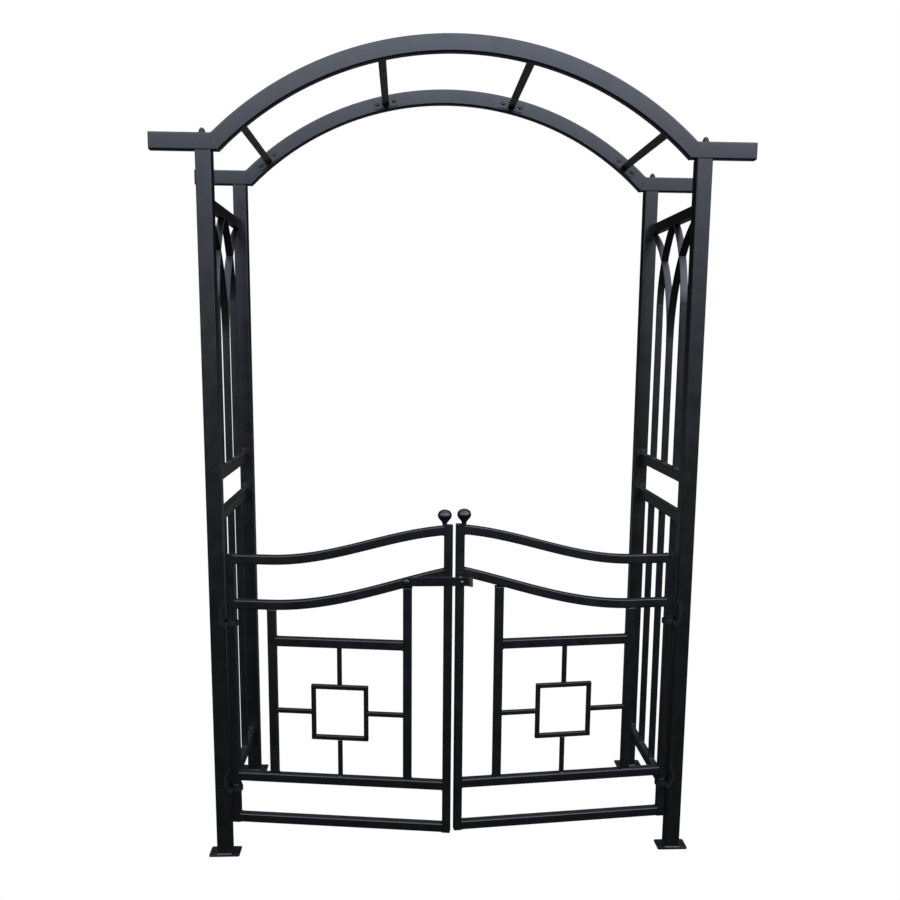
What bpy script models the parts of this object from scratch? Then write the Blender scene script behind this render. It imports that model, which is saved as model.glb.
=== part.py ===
"""Metal garden arch with trellis sides and a pair of latched gates.

Four square posts stand on foot plates and carry two arched top beams, one in
front and one behind, which four cross ties hold apart. A welded trellis fills
each side in an upper and a lower panel. Two gate leaves hang on loops on the
front posts and stand a little ajar, held by a lifting latch bar.

Axes: X to the right, Y to the back, Z up. The origin is on the ground under
the middle of the whole object. Run with: blender --background --python part.py
"""
import math

import bmesh
import bpy
from mathutils import Matrix, Vector

# Sizes in metres.
GAP = 0.0003                 # clearance between pieces that are fastened together

# Posts and feet
POST = 0.040                 # square tube
POST_WALL = 0.0015
POST_X = 0.625               # post centres, left and right
FRONT_Y = -0.2178            # post centres, front
BACK_Y = 0.3072              # post centres, back
POST_TOP = 1.8661
FOOT = (0.083, 0.049)        # foot plate
FOOT_THICK = 0.005
FOOT_HOLE = 0.0042           # half width of the oblong holes
FOOT_HOLE_LONG = 1.35
FOOT_HOLE_OFF = 0.031

# Top beams: a circular arch between two level wings
BEAM = 0.0425                # height of the beams' tube
BEAM_DEEP = 0.026            # its width from front to back
BEAM_WALL = 0.0015
BEAM_TOP = POST_TOP + BEAM
ARCH_Z = 1.2700              # centre of the arch's circle
ARCH_R = 0.8807              # outer radius
WING_END = 0.757             # open end of each wing
CAP_FLANGE = 0.002
CAP_DEPTH = 0.014
NUT_OUT = 0.004              # cap nuts sit this far outside the posts' centres

# Cross ties between the two beams
TIE = 0.019
TIE_WALL = 0.0012
TIE_ANGLES = {"left_low": -38.9, "left_high": -12.6, "right_high": 12.8, "right_low": 39.0}
TIE_PLATE = (0.072, 0.030, 0.0025)

# Side trellis
TRELLIS_X = 0.6321           # centre plane
TRELLIS_T = 0.020            # thickness across the plane
RAIL_H = 0.030
BAR_W = 0.010
STRIP = 0.006                # bent strip of the tracery
TRELLIS_WALL = 0.0012
BAR_PITCH = 0.123
RAILS = {"upper": (1.0456, 1.7492), "lower": (0.1268, 0.9340)}
OUTER_ARC = (1.508, 0.298)   # side bars bend inwards: height where it starts, radius
INNER_ARC = (1.413, 0.345)   # middle bar splits and bends outwards
END_PLATE = (0.018, 0.0025, 0.058)

# Gate leaves: distances run from the hinge axis towards the middle
TUBE = 0.022
RAIL_TUBE = 0.024            # height of the rails
TUBE_WALL = 0.0012
HINGE_X = 0.5895
LEFT_AJAR = math.radians(7.7)
RIGHT_AJAR = math.radians(6.4)
MEET = 0.5785                # meeting stile's centre
OUTER_BAR = 0.1087           # panel bars' centres
INNER_BAR = 0.4722
STILE_FOOT = 0.0966
HINGE_STILE_TOP = 0.8455
MEET_STILE_TOP = 0.938
BOTTOM_RAIL_Z = 0.1084
PANEL_RAIL_Z = 0.2288
PANEL_TOP_Z = 0.6142
TOP_CURVE = (0.8356, 0.0946, 0.104, 0.637)      # start height, rise, start, end
SECOND_CURVE = (0.7132, 0.1314, 0.105, 0.787)
ORNAMENT_BAR = 0.0115
ORNAMENT_HALF = 0.0768
ORNAMENT_S = 0.2898          # centre of the open square
ORNAMENT_Z = 0.4206
FINIAL_OFF = 0.0100          # ball's offset from the stile's centre, to the hinge side
FINIAL_Z = 0.965
FINIAL_PROFILE = [(0.0062, -0.0215), (0.0070, -0.0186), (0.0108, -0.0131), (0.0148, -0.0085),
                  (0.0168, -0.0050), (0.0179, -0.0020), (0.0181, 0.0010), (0.0174, 0.0050),
                  (0.0155, 0.0088), (0.0120, 0.0121), (0.0070, 0.0145), (0.0020, 0.0155)]

# Hinge loops, fixed to the posts
HINGE_Z = {"lower": 0.220, "upper": 0.688}
LOOP_R = 0.0150              # inner radius, clears the turning stile
LOOP_T = 0.0024
LOOP_H = 0.012
LOOP_DROP = 0.028            # loop's centre below the hinge plate's centre
CRESCENT_HALF = 0.037
CRESCENT_BULGE = 0.0152
CRESCENT_BAND = 0.008
CRESCENT_T = 0.004
COLLAR_R = 0.0149            # collar on the stile that rests on the loop
COLLAR_H = 0.007

# Latch
LATCH_Z = 0.7900
LATCH_PIVOT = 0.4710
LATCH_LEFT = 0.4590
LATCH_BEND = 0.6300
LATCH_TAB = 0.0190
LATCH_TAB_ANGLE = math.radians(38)
LATCH_H = 0.0228
LATCH_T = 0.005
LATCH_OUT = 0.0125           # back of the bar, from the leaf's middle plane
KEEPER_S = 0.6152            # keeper stud, along the left leaf
NOTCH = 0.0110
LATCH_TILT = math.radians(2.2)   # the bar rests on the stud with its free end a little high
STUD_Z = LATCH_Z + (KEEPER_S - LATCH_PIVOT) * math.sin(LATCH_TILT)
STUD_R = 0.0030
STUD_LEN = 0.0285

PAINT = (0.024, 0.026, 0.029, 1.0)
ZINC = (0.55, 0.56, 0.58, 1.0)
PLASTIC = (0.020, 0.020, 0.022, 1.0)


def clear_scene():
    for obj in list(bpy.data.objects):
        bpy.data.objects.remove(obj, do_unlink=True)


def make_material(name, color, metallic, roughness):
    mat = bpy.data.materials.new(name)
    mat.use_nodes = True
    shader = mat.node_tree.nodes["Principled BSDF"]
    shader.inputs["Base Color"].default_value = color
    shader.inputs["Metallic"].default_value = metallic
    shader.inputs["Roughness"].default_value = roughness
    return mat


def link(name, bm, finish="paint", parent=None):
    """Turn a bmesh into a named object with a material of its own."""
    bmesh.ops.recalc_face_normals(bm, faces=bm.faces)
    mesh = bpy.data.meshes.new(name)
    bm.to_mesh(mesh)
    bm.free()
    mesh.shade_smooth()
    mesh.set_sharp_from_angle(angle=math.radians(50))
    obj = bpy.data.objects.new(name, mesh)
    bpy.context.scene.collection.objects.link(obj)
    color, metallic, roughness = {
        "paint": (PAINT, 0.35, 0.42),
        "zinc": (ZINC, 0.9, 0.3),
        "plastic": (PLASTIC, 0.0, 0.5),
    }[finish]
    mesh.materials.append(make_material(name, color, metallic, roughness))
    obj.parent = parent
    return obj


def helper(name, bm):
    """A cutter or union partner that is not a piece of the arch."""
    obj = link(name, bm)
    obj.hide_render = True
    obj.display_type = "WIRE"
    return obj


def combine(obj, operation, other, use_self=False):
    mod = obj.modifiers.new(operation.title(), "BOOLEAN")
    mod.operation = operation
    mod.solver = "EXACT"
    mod.use_self = use_self
    mod.object = other


def box(bm, low, high):
    """Add a box between two corners."""
    size = Vector(high) - Vector(low)
    middle = (Vector(high) + Vector(low)) / 2
    matrix = Matrix.Translation(middle) @ Matrix.Diagonal((*size, 1.0))
    bmesh.ops.create_cube(bm, size=1.0, matrix=matrix)


def cylinder(bm, start, end, radius, segments=20):
    start = Vector(start)
    run = Vector(end) - start
    turn = run.to_track_quat("Z", "Y").to_matrix().to_4x4()
    matrix = Matrix.Translation(start + run / 2) @ turn
    bmesh.ops.create_cone(bm, cap_ends=True, segments=segments, radius1=radius,
                          radius2=radius, depth=run.length, matrix=matrix)


def outline(width, height, chamfer):
    """Rectangle with cut corners, counter-clockwise."""
    w, h, c = width / 2, height / 2, chamfer
    return [(w, -h + c), (w, h - c), (w - c, h), (-w + c, h),
            (-w, h - c), (-w, -h + c), (-w + c, -h), (w - c, -h)]


def ring_of_verts(bm, profile, station):
    origin, across, up = station
    return [bm.verts.new(origin + across * a + up * b) for a, b in profile]


def stitch(bm, rings):
    for ring, following in zip(rings, rings[1:]):
        for i in range(len(ring)):
            j = (i + 1) % len(ring)
            bm.faces.new((ring[i], ring[j], following[j], following[i]))


def tube(stations, width, height, wall, chamfer=0.0022):
    """Open-ended tube through stations of (origin, across, up)."""
    bm = bmesh.new()
    outer_profile = outline(width, height, chamfer)
    inner_profile = outline(width - 2 * wall, height - 2 * wall, max(chamfer - wall, 0.0005))
    outer = [ring_of_verts(bm, outer_profile, s) for s in stations]
    inner = [ring_of_verts(bm, inner_profile, s) for s in stations]
    stitch(bm, outer)
    stitch(bm, inner)
    stitch(bm, [outer[0], inner[0]])
    stitch(bm, [outer[-1], inner[-1]])
    return bm


def straight_tube(start, end, across, width, height, wall, chamfer=0.0022):
    start, end, across = Vector(start), Vector(end), Vector(across)
    up = (end - start).cross(across).normalized()
    return tube([(start, across, up), (end, across, up)], width, height, wall, chamfer)


def lathe(bm, profile, centre, segments=24):
    """Closed turned body from (radius, height) points, bottom to top."""
    rings = []
    for radius, height in profile:
        ring = []
        for i in range(segments):
            a = 2 * math.pi * i / segments
            point = Vector((radius * math.cos(a), radius * math.sin(a), height))
            ring.append(bm.verts.new(centre + point))
        rings.append(ring)
    stitch(bm, rings)
    bm.faces.new(rings[0])
    bm.faces.new(rings[-1])


# Posts, feet and top beams

def build_post(name, x, y):
    bottom = (x, y, FOOT_THICK + GAP)
    top = (x, y, POST_TOP - GAP)
    link("post_" + name, straight_tube(bottom, top, (1, 0, 0), POST, POST, POST_WALL, 0.003))


def build_foot(name, x, y):
    bm = bmesh.new()
    half_x, half_y = FOOT[0] / 2, FOOT[1] / 2
    box(bm, (x - half_x, y - half_y, 0), (x + half_x, y + half_y, FOOT_THICK))
    edges = [e for e in bm.edges if abs(e.verts[0].co.z - e.verts[1].co.z) > FOOT_THICK / 2]
    bmesh.ops.bevel(bm, geom=edges, offset=0.004, segments=2, affect="EDGES", profile=0.5)
    plate = link("foot_plate_" + name, bm)
    holes = bmesh.new()
    for sx in (-1, 1):
        spot = Vector((x + sx * FOOT_HOLE_OFF, y, 0))
        drill = Matrix.Translation(spot) @ Matrix.Diagonal((FOOT_HOLE_LONG, 1, 1, 1))
        bmesh.ops.create_cone(holes, cap_ends=True, segments=16, radius1=FOOT_HOLE,
                              radius2=FOOT_HOLE, depth=0.03, matrix=drill)
    combine(plate, "DIFFERENCE", helper("cut_foot_" + name, holes))


def kink():
    """Corners where wing and arch meet: (lower x, upper x)."""
    upper = math.sqrt(ARCH_R ** 2 - (BEAM_TOP - ARCH_Z) ** 2)
    lower = math.sqrt((ARCH_R - BEAM) ** 2 - (POST_TOP - ARCH_Z) ** 2)
    return lower, upper


def mitre_station(y, side, shift):
    lower, upper = kink()
    middle = Vector((side * ((lower + upper) / 2 + shift), y, (POST_TOP + BEAM_TOP) / 2))
    rise = Vector((side * (upper - lower), 0, BEAM)) / BEAM
    return middle, Vector((0, 1, 0)), rise


def build_arch(name, y):
    radius = ARCH_R - BEAM / 2
    stations = [mitre_station(y, -1, 0)]
    steps = 30
    limit = math.radians(42.0)
    for i in range(steps + 1):
        a = -limit + 2 * limit * i / steps
        out = Vector((math.sin(a), 0, math.cos(a)))
        stations.append((Vector((0, y, ARCH_Z)) + out * radius, Vector((0, 1, 0)), out))
    stations.append(mitre_station(y, 1, 0))
    link("arch_" + name, tube(stations, BEAM_DEEP, BEAM, BEAM_WALL, 0.0025))


def build_wing(name, side, y):
    end = (Vector((side * WING_END, y, (POST_TOP + BEAM_TOP) / 2)), Vector((0, 1, 0)), Vector((0, 0, 1)))
    link("wing_" + name, tube([mitre_station(y, side, GAP), end], BEAM_DEEP, BEAM, BEAM_WALL, 0.0025))


def build_wing_cap(name, side, y):
    """Push-in end cap: a flange over the tube's end and a plug inside it."""
    bm = bmesh.new()
    middle = Vector((side * WING_END, y, (POST_TOP + BEAM_TOP) / 2))
    plug = outline(BEAM_DEEP - 2 * BEAM_WALL - 0.0008, BEAM - 2 * BEAM_WALL - 0.0008, 0.0015)
    flange = outline(BEAM_DEEP, BEAM, 0.0025)
    face = outline(BEAM_DEEP - 0.002, BEAM - 0.002, 0.0025)
    steps = [(plug, -CAP_DEPTH), (plug, GAP), (flange, GAP), (flange, GAP + 0.0012),
             (face, CAP_FLANGE)]
    rings = []
    for profile, out in steps:
        station = (middle + Vector((side * out, 0, 0)), Vector((0, 1, 0)), Vector((0, 0, 1)))
        rings.append(ring_of_verts(bm, profile, station))
    stitch(bm, rings)
    bm.faces.new(rings[0])
    bm.faces.new(rings[-1])
    link("wing_cap_" + name, bm, "plastic")


def build_cap_nut(name, x, y):
    """Washer, hexagon and dome over the bolt that joins wing and post."""
    bm = bmesh.new()
    base = Vector((x, y, BEAM_TOP + GAP))
    profile = [(0.0095, 0.0, False), (0.0095, 0.0015, False), (0.0080, 0.0015, True),
               (0.0080, 0.0065, True), (0.0062, 0.0070, False), (0.0058, 0.0092, False),
               (0.0044, 0.0112, False), (0.0022, 0.0124, False)]
    rings = []
    for radius, height, hexagon in profile:
        ring = []
        for i in range(24):
            a = 2 * math.pi * i / 24
            flat = (a % (math.pi / 3)) - math.pi / 6
            r = radius * math.cos(math.pi / 6) / math.cos(flat) if hexagon else radius
            ring.append(bm.verts.new(base + Vector((r * math.cos(a), r * math.sin(a), height))))
        rings.append(ring)
    stitch(bm, rings)
    bm.faces.new(rings[0])
    bm.faces.new(rings[-1])
    link("cap_nut_" + name, bm, "paint")


def build_tie(name, degrees):
    """Square tube between the beams with a screwed plate at each end."""
    a = math.radians(degrees)
    out = Vector((math.sin(a), 0, math.cos(a)))
    along = Vector((math.cos(a), 0, -math.sin(a)))
    axis = out * (ARCH_R - BEAM / 2) + Vector((0, 0, ARCH_Z))
    front = FRONT_Y + BEAM_DEEP / 2 + GAP
    back = BACK_Y - BEAM_DEEP / 2 - GAP
    frame = Matrix((along, Vector((0, 1, 0)), out)).transposed().to_4x4()
    frame = Matrix.Translation(axis) @ frame
    solid = bmesh.new()
    half = TIE / 2
    width, height, thick = (size / 2 for size in TIE_PLATE)
    box(solid, (-half, front + 0.001, -half), (half, back - 0.001, half))
    for y in (front + thick, back - thick):
        box(solid, (-width, y - thick, -height), (width, y + thick, height))
    bmesh.ops.transform(solid, matrix=frame, verts=solid.verts)
    hollow = bmesh.new()
    inside = half - TIE_WALL
    box(hollow, (-inside, front - 0.01, -inside), (inside, back + 0.01, inside))
    bmesh.ops.transform(hollow, matrix=frame, verts=hollow.verts)
    tie = link("cross_tie_" + name, solid)
    combine(tie, "DIFFERENCE", helper("cut_tie_" + name, hollow), use_self=True)


# Side trellis

def tracery_strip(bm, x, start_y, way, arc, top):
    """Bent strip from a bar up to the rail; way is +1 or -1 along Y."""
    steps = 12
    half_x = TRELLIS_T / 2
    start_z, radius = arc
    first, last = -0.002, top - start_z
    rings = []
    for i in range(steps + 1):
        up = first + (last - first) * i / steps
        root = math.sqrt(radius ** 2 - up ** 2)
        y = start_y + way * (radius - root)
        spread = STRIP / 2 * radius / root
        corners = ((-half_x, -spread), (half_x, -spread), (half_x, spread), (-half_x, spread))
        rings.append([bm.verts.new((x + a, y + b, start_z + up)) for a, b in corners])
    stitch(bm, rings)
    bm.faces.new(rings[0])
    bm.faces.new(rings[-1])


def build_trellis(level, side_name, side):
    low_z, high_z = RAILS[level]
    x = side * TRELLIS_X
    front = FRONT_Y + POST / 2 + GAP
    back = BACK_Y - POST / 2 - GAP
    middle = (front + back) / 2
    half_x, half_h = TRELLIS_T / 2, RAIL_H / 2
    solid = bmesh.new()
    hollow = bmesh.new()
    inner_x = half_x - TRELLIS_WALL
    inner_h = half_h - TRELLIS_WALL
    for z in (low_z, high_z):
        box(solid, (x - half_x, front, z - half_h), (x + half_x, back, z + half_h))
        box(hollow, (x - inner_x, front - 0.01, z - inner_h), (x + inner_x, back + 0.01, z + inner_h))
        width, thick, height = (size / 2 for size in END_PLATE)
        for y in (front + thick, back - thick):
            box(solid, (x - width, y - thick, z - height), (x + width, y + thick, z + height))
    forked = level == "upper"
    rail_under = high_z - half_h + 0.0006
    for place in (-1, 0, 1):
        y = middle + place * BAR_PITCH
        half_w = BAR_W / 2
        start_z = (OUTER_ARC if place else INNER_ARC)[0]
        bar_top = start_z + (0.012 if place else 0.042) if forked else rail_under
        void_top = start_z - 0.006 if forked else high_z
        box(solid, (x - half_x + GAP, y - half_w, low_z + half_h - 0.0006),
            (x + half_x - GAP, y + half_w, bar_top))
        inner_w = half_w - TRELLIS_WALL
        box(hollow, (x - inner_x + 0.0005, y - inner_w, low_z),
            (x + inner_x - 0.0005, y + inner_w, void_top))
        if forked and place:
            tracery_strip(solid, x, y, -place, OUTER_ARC, rail_under)
        elif forked:
            for way in (-1, 1):
                tracery_strip(solid, x, y + way * 0.0018, way, INNER_ARC, rail_under)
    panel = link("trellis_" + level + "_" + side_name, solid)
    cutter = helper("cut_trellis_" + level + "_" + side_name, hollow)
    combine(panel, "DIFFERENCE", cutter, use_self=True)


# Gate leaves: built along +X for the left leaf and -X for the right one,
# in the frame of an empty on the hinge axis

def leaf_frame(name, side, ajar):
    frame = bpy.data.objects.new(name, None)
    frame.empty_display_size = 0.1
    bpy.context.scene.collection.objects.link(frame)
    frame.location = (side * HINGE_X, FRONT_Y, 0)
    frame.rotation_euler = (0, 0, side * ajar)
    return frame


def curve_height(curve, s):
    """Height of a curved rail's centre line at a distance from the hinge."""
    start_z, rise, start, end = curve
    u = min(max((s - start) / (end - start), 0), 1)
    return start_z + rise * (1 - math.cos(math.pi * u)) / 2


def curved_rail(curve, first, last, run):
    steps = 16
    stations = []
    for i in range(steps + 1):
        s = first + (last - first) * i / steps
        z = curve_height(curve, s)
        slope = (curve_height(curve, s + 0.0005) - curve_height(curve, s - 0.0005)) / 0.001
        up = Vector((-run * slope, 0, 1)).normalized()
        if i in (0, steps):
            up = Vector((0, 0, math.sqrt(1 + slope * slope)))
        stations.append((Vector((run * s, 0, z)), Vector((0, 1, 0)), up))
    return tube(stations, TUBE, RAIL_TUBE, TUBE_WALL, 0.002)


def upright(s, low, high, run):
    return straight_tube((run * s, 0, low), (run * s, 0, high), (1, 0, 0), TUBE, TUBE, TUBE_WALL, 0.002)


def level_tube(z, first, last, run):
    ends = (run * first, 0, z), (run * last, 0, z)
    return straight_tube(*ends, (0, 1, 0), TUBE, RAIL_TUBE, TUBE_WALL, 0.002)


def ornament(run):
    """Open square of solid bar held in the panel by four short bars."""
    bm = bmesh.new()
    half = ORNAMENT_BAR / 2
    s = ORNAMENT_S * run
    z = ORNAMENT_Z
    ring = ORNAMENT_HALF
    sides = (run * (OUTER_BAR + TUBE / 2 + GAP), run * (INNER_BAR - TUBE / 2 - GAP))
    ends = (PANEL_RAIL_Z + RAIL_TUBE / 2 + GAP, PANEL_TOP_Z - RAIL_TUBE / 2 - GAP)
    for way in (-1, 1):
        box(bm, (s - ring, -half, z + way * (ring - half) - half),
            (s + ring, half, z + way * (ring - half) + half))
        box(bm, (s + way * (ring - half) - half, -half, z - ring),
            (s + way * (ring - half) + half, half, z + ring))
        reach = min(sides) if way < 0 else max(sides)
        near, far = sorted((s + way * (ring - 0.001), reach))
        box(bm, (near, -half, z - half), (far, half, z + half))
        near, far = sorted((z + way * (ring - 0.001), ends[0] if way < 0 else ends[1]))
        box(bm, (s - half, -half, near), (s + half, half, far))
    return bm


def finial(run):
    """Flattened ball on a neck and a square cap that closes the meeting stile."""
    bm = bmesh.new()
    half = TUBE / 2
    base = MEET_STILE_TOP + GAP
    s = run * MEET
    box(bm, (s - half, -half, base), (s + half, half, base + 0.0025))
    profile = [(0.0064, base + 0.001 - FINIAL_Z)] + FINIAL_PROFILE
    lathe(bm, profile, Vector((run * (MEET - FINIAL_OFF), 0, FINIAL_Z)), 18)
    return bm


def build_leaf(side_name, frame, run):
    def piece(name, bm):
        return link(side_name + "_" + name, bm, "paint", frame)

    edge = TUBE / 2 + GAP
    collar = bmesh.new()
    low = HINGE_Z["lower"] - LOOP_DROP + LOOP_H / 2 + 0.0006
    cylinder(collar, (0, 0, low), (0, 0, low + COLLAR_H), COLLAR_R, 24)
    bore = bmesh.new()
    inside = TUBE / 2 - TUBE_WALL
    box(bore, (-inside, -inside, low - 0.01), (inside, inside, low + COLLAR_H + 0.01))
    ring = helper(side_name + "_collar", collar)
    ring.parent = frame
    bore_cutter = helper(side_name + "_collar_bore", bore)
    bore_cutter.parent = frame
    combine(ring, "DIFFERENCE", bore_cutter)
    stile = piece("hinge_stile", upright(0, STILE_FOOT, HINGE_STILE_TOP, run))
    combine(stile, "UNION", ring)

    piece("meeting_stile", upright(MEET, STILE_FOOT, MEET_STILE_TOP, run))
    piece("top_rail", curved_rail(TOP_CURVE, edge, MEET - edge, run))
    piece("second_rail", curved_rail(SECOND_CURVE, edge, MEET - edge, run))
    piece("bottom_rail", level_tube(BOTTOM_RAIL_Z, edge, MEET - edge, run))
    piece("panel_rail", level_tube(PANEL_RAIL_Z, edge, MEET - edge, run))
    for name, s in (("outer_bar", OUTER_BAR), ("inner_bar", INNER_BAR)):
        under = min(curve_height(SECOND_CURVE, s + d) for d in (-edge, edge))
        steep = curve_height(SECOND_CURVE, s + edge) - curve_height(SECOND_CURVE, s - edge)
        top = under - RAIL_TUBE / 2 * math.hypot(1, steep / TUBE) - GAP
        piece(name, upright(s, PANEL_RAIL_Z + RAIL_TUBE / 2 + GAP, top, run))
    piece("panel_top_bar", level_tube(PANEL_TOP_Z, OUTER_BAR + edge, INNER_BAR - edge, run))
    square = piece("ornament", ornament(run))
    unite(square)
    unite(piece("finial", finial(run)))


def unite(obj):
    """Weld an object's overlapping shells into one body."""
    seed = bmesh.new()
    centre = obj.data.vertices[0].co
    box(seed, centre + Vector((10, 10, 10)), centre + Vector((10.01, 10.01, 10.01)))
    partner = helper("far_" + obj.name, seed)
    combine(obj, "DIFFERENCE", partner, use_self=True)


# Hinge loops

def arc_points(bulge, half, steps):
    """Points of a shallow arc from top to bottom, as (outward, height)."""
    radius = (half ** 2 + bulge ** 2) / (2 * bulge)
    limit = math.asin(half / radius)
    angles = [limit - 2 * limit * i / steps for i in range(steps + 1)]
    return [(radius * math.cos(a) - radius + bulge, radius * math.sin(a)) for a in angles]


def build_hinge(side_name, side, level):
    """Crescent plate on the post's front and a loop around the gate's stile."""
    zc = HINGE_Z[level]
    post_edge = side * (POST_X - POST / 2)
    front = FRONT_Y - POST / 2 - GAP
    bm = bmesh.new()
    outer = arc_points(CRESCENT_BULGE, CRESCENT_HALF, 12)
    inner = arc_points(CRESCENT_BULGE - CRESCENT_BAND, CRESCENT_HALF - CRESCENT_BAND, 12)
    rings = []
    for y in (front - CRESCENT_T, front):
        loop = [bm.verts.new((post_edge + side * out, y, zc + up)) for out, up in outer + inner[::-1]]
        rings.append(loop)
        bm.faces.new(loop)
    stitch(bm, rings)
    loop_z = zc - LOOP_DROP
    low, high = loop_z - LOOP_H / 2, loop_z + LOOP_H / 2
    foot = post_edge - side * GAP
    inward = side * (HINGE_X + 0.0085)
    first, last = sorted((foot, inward))
    box(bm, (first, front - CRESCENT_T, zc - CRESCENT_HALF), (last, FRONT_Y - LOOP_R - 0.0002, high))
    first, last = sorted((post_edge + side * 0.001, inward))
    box(bm, (first, front - CRESCENT_T, zc - CRESCENT_HALF), (last, front, high - 0.004))
    build_loop(bm, side, foot, low, high)
    bracket = link("hinge_loop_" + side_name + "_" + level, bm)
    unite(bracket)


def build_loop(bm, side, foot, low, high):
    """U-shaped strap from the post around the stile and back to the post."""
    centre = Vector((side * HINGE_X, FRONT_Y, 0))
    outer, inner = [], []
    for radius, points in ((LOOP_R + LOOP_T, outer), (LOOP_R, inner)):
        points.append((foot, centre.y - radius))
        for i in range(13):
            a = -math.pi / 2 + math.pi * i / 12
            points.append((centre.x - side * radius * math.cos(a), centre.y + radius * math.sin(a)))
        points.append((foot, centre.y + radius))
    shape = outer + inner[::-1]
    rings = [[bm.verts.new((x, y, z)) for x, y in shape] for z in (low, high)]
    stitch(bm, rings)
    for ring in rings:
        bm.faces.new(ring)


# Latch

def build_latch(left_frame, right_frame):
    out, thick, half = LATCH_OUT, LATCH_T, LATCH_H / 2
    bend = Vector((math.cos(LATCH_TAB_ANGLE), -math.sin(LATCH_TAB_ANGLE), 0)) * LATCH_TAB
    pivot = Vector((LATCH_PIVOT, 0, LATCH_Z))
    arm_frame = bpy.data.objects.new("latch_axis", None)
    arm_frame.empty_display_size = 0.03
    bpy.context.scene.collection.objects.link(arm_frame)
    arm_frame.parent = left_frame
    arm_frame.location = pivot
    arm_frame.rotation_euler = (0, -LATCH_TILT, 0)

    bm = bmesh.new()
    rounding = [(-math.cos(a) * half, math.sin(a) * half)
                for a in (math.pi / 2 * i / 4 for i in range(-4, 5))]
    start = LATCH_LEFT - LATCH_PIVOT + half
    rings = []
    for y in (-out, -out - thick):
        points = [(start + dx, y, dz) for dx, dz in rounding]
        points += [(LATCH_BEND - LATCH_PIVOT, y, half), (LATCH_BEND - LATCH_PIVOT, y, -half)]
        rings.append([bm.verts.new(p) for p in points])
    stitch(bm, rings)
    for ring in rings:
        bm.faces.new(ring)
    tab_root = Vector((LATCH_BEND - LATCH_PIVOT, -out, 0))
    side_step = Vector((bend.y, -bend.x, 0)).normalized() * thick
    back = [tab_root - bend * 0.02, tab_root + bend]
    rings = []
    for z in (-half, half):
        corners = [back[0], back[1], back[1] + side_step, back[0] + side_step]
        rings.append([bm.verts.new(c + Vector((0, 0, z))) for c in corners])
    stitch(bm, rings)
    for ring in rings:
        bm.faces.new(ring)
    arm = link("latch_arm", bm, "paint", arm_frame)

    cuts = bmesh.new()
    cylinder(cuts, (0, 0.01, 0), (0, -0.04, 0), 0.0052, 16)
    notch_x = KEEPER_S - LATCH_PIVOT
    box(cuts, (notch_x - NOTCH / 2, -0.04, -0.03), (notch_x + NOTCH / 2, 0.01, 0.0038))
    cutter = helper("cut_latch", cuts)
    cutter.parent = arm_frame
    combine(arm, "DIFFERENCE", cutter, use_self=True)

    bolt = bmesh.new()
    lathe(bolt, [(0.0047, 0.0), (0.0047, out + thick + 0.0004 - TUBE / 2 - GAP),
                 (0.0088, out + thick + 0.0004 - TUBE / 2 - GAP),
                 (0.0088, out + thick + 0.0020 - TUBE / 2), (0.0074, out + thick + 0.0040 - TUBE / 2),
                 (0.0042, out + thick + 0.0052 - TUBE / 2)], Vector((0, 0, 0)), 18)
    to_front = Matrix.Translation((LATCH_PIVOT, -TUBE / 2 - GAP, LATCH_Z)) @ Matrix.Rotation(math.pi / 2, 4, "X")
    bmesh.ops.transform(bolt, matrix=to_front, verts=bolt.verts)
    link("latch_pivot", bolt, "paint", left_frame)

    stud = bmesh.new()
    lathe(stud, [(0.0080, 0.0), (0.0080, 0.0022), (0.0066, 0.0030), (STUD_R, 0.0030),
                 (STUD_R, STUD_LEN - 0.001), (STUD_R - 0.001, STUD_LEN)], Vector((0, 0, 0)), 18)
    to_front = Matrix.Translation((-MEET, -TUBE / 2 - GAP, STUD_Z)) @ Matrix.Rotation(math.pi / 2, 4, "X")
    bmesh.ops.transform(stud, matrix=to_front, verts=stud.verts)
    link("latch_keeper", stud, "zinc", right_frame)


def main():
    clear_scene()
    for depth_name, y in (("front", FRONT_Y), ("back", BACK_Y)):
        build_arch(depth_name, y)
        for side_name, side in (("left", -1), ("right", 1)):
            name = depth_name + "_" + side_name
            build_post(name, side * POST_X, y)
            build_foot(name, side * POST_X, y)
            build_wing(name, side, y)
            build_wing_cap(name, side, y)
            if name != "back_left":
                build_cap_nut(name, side * (POST_X + NUT_OUT), y)
    for name, degrees in TIE_ANGLES.items():
        build_tie(name, degrees)
    for side_name, side in (("left", -1), ("right", 1)):
        for level in RAILS:
            build_trellis(level, side_name, side)
        for level in HINGE_Z:
            build_hinge(side_name, side, level)
    left_frame = leaf_frame("left_gate_axis", -1, LEFT_AJAR)
    right_frame = leaf_frame("right_gate_axis", 1, RIGHT_AJAR)
    build_leaf("left", left_frame, 1)
    build_leaf("right", right_frame, -1)
    build_latch(left_frame, right_frame)


main()
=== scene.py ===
import math

import bmesh
import bpy
from mathutils import Matrix, Vector

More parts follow.
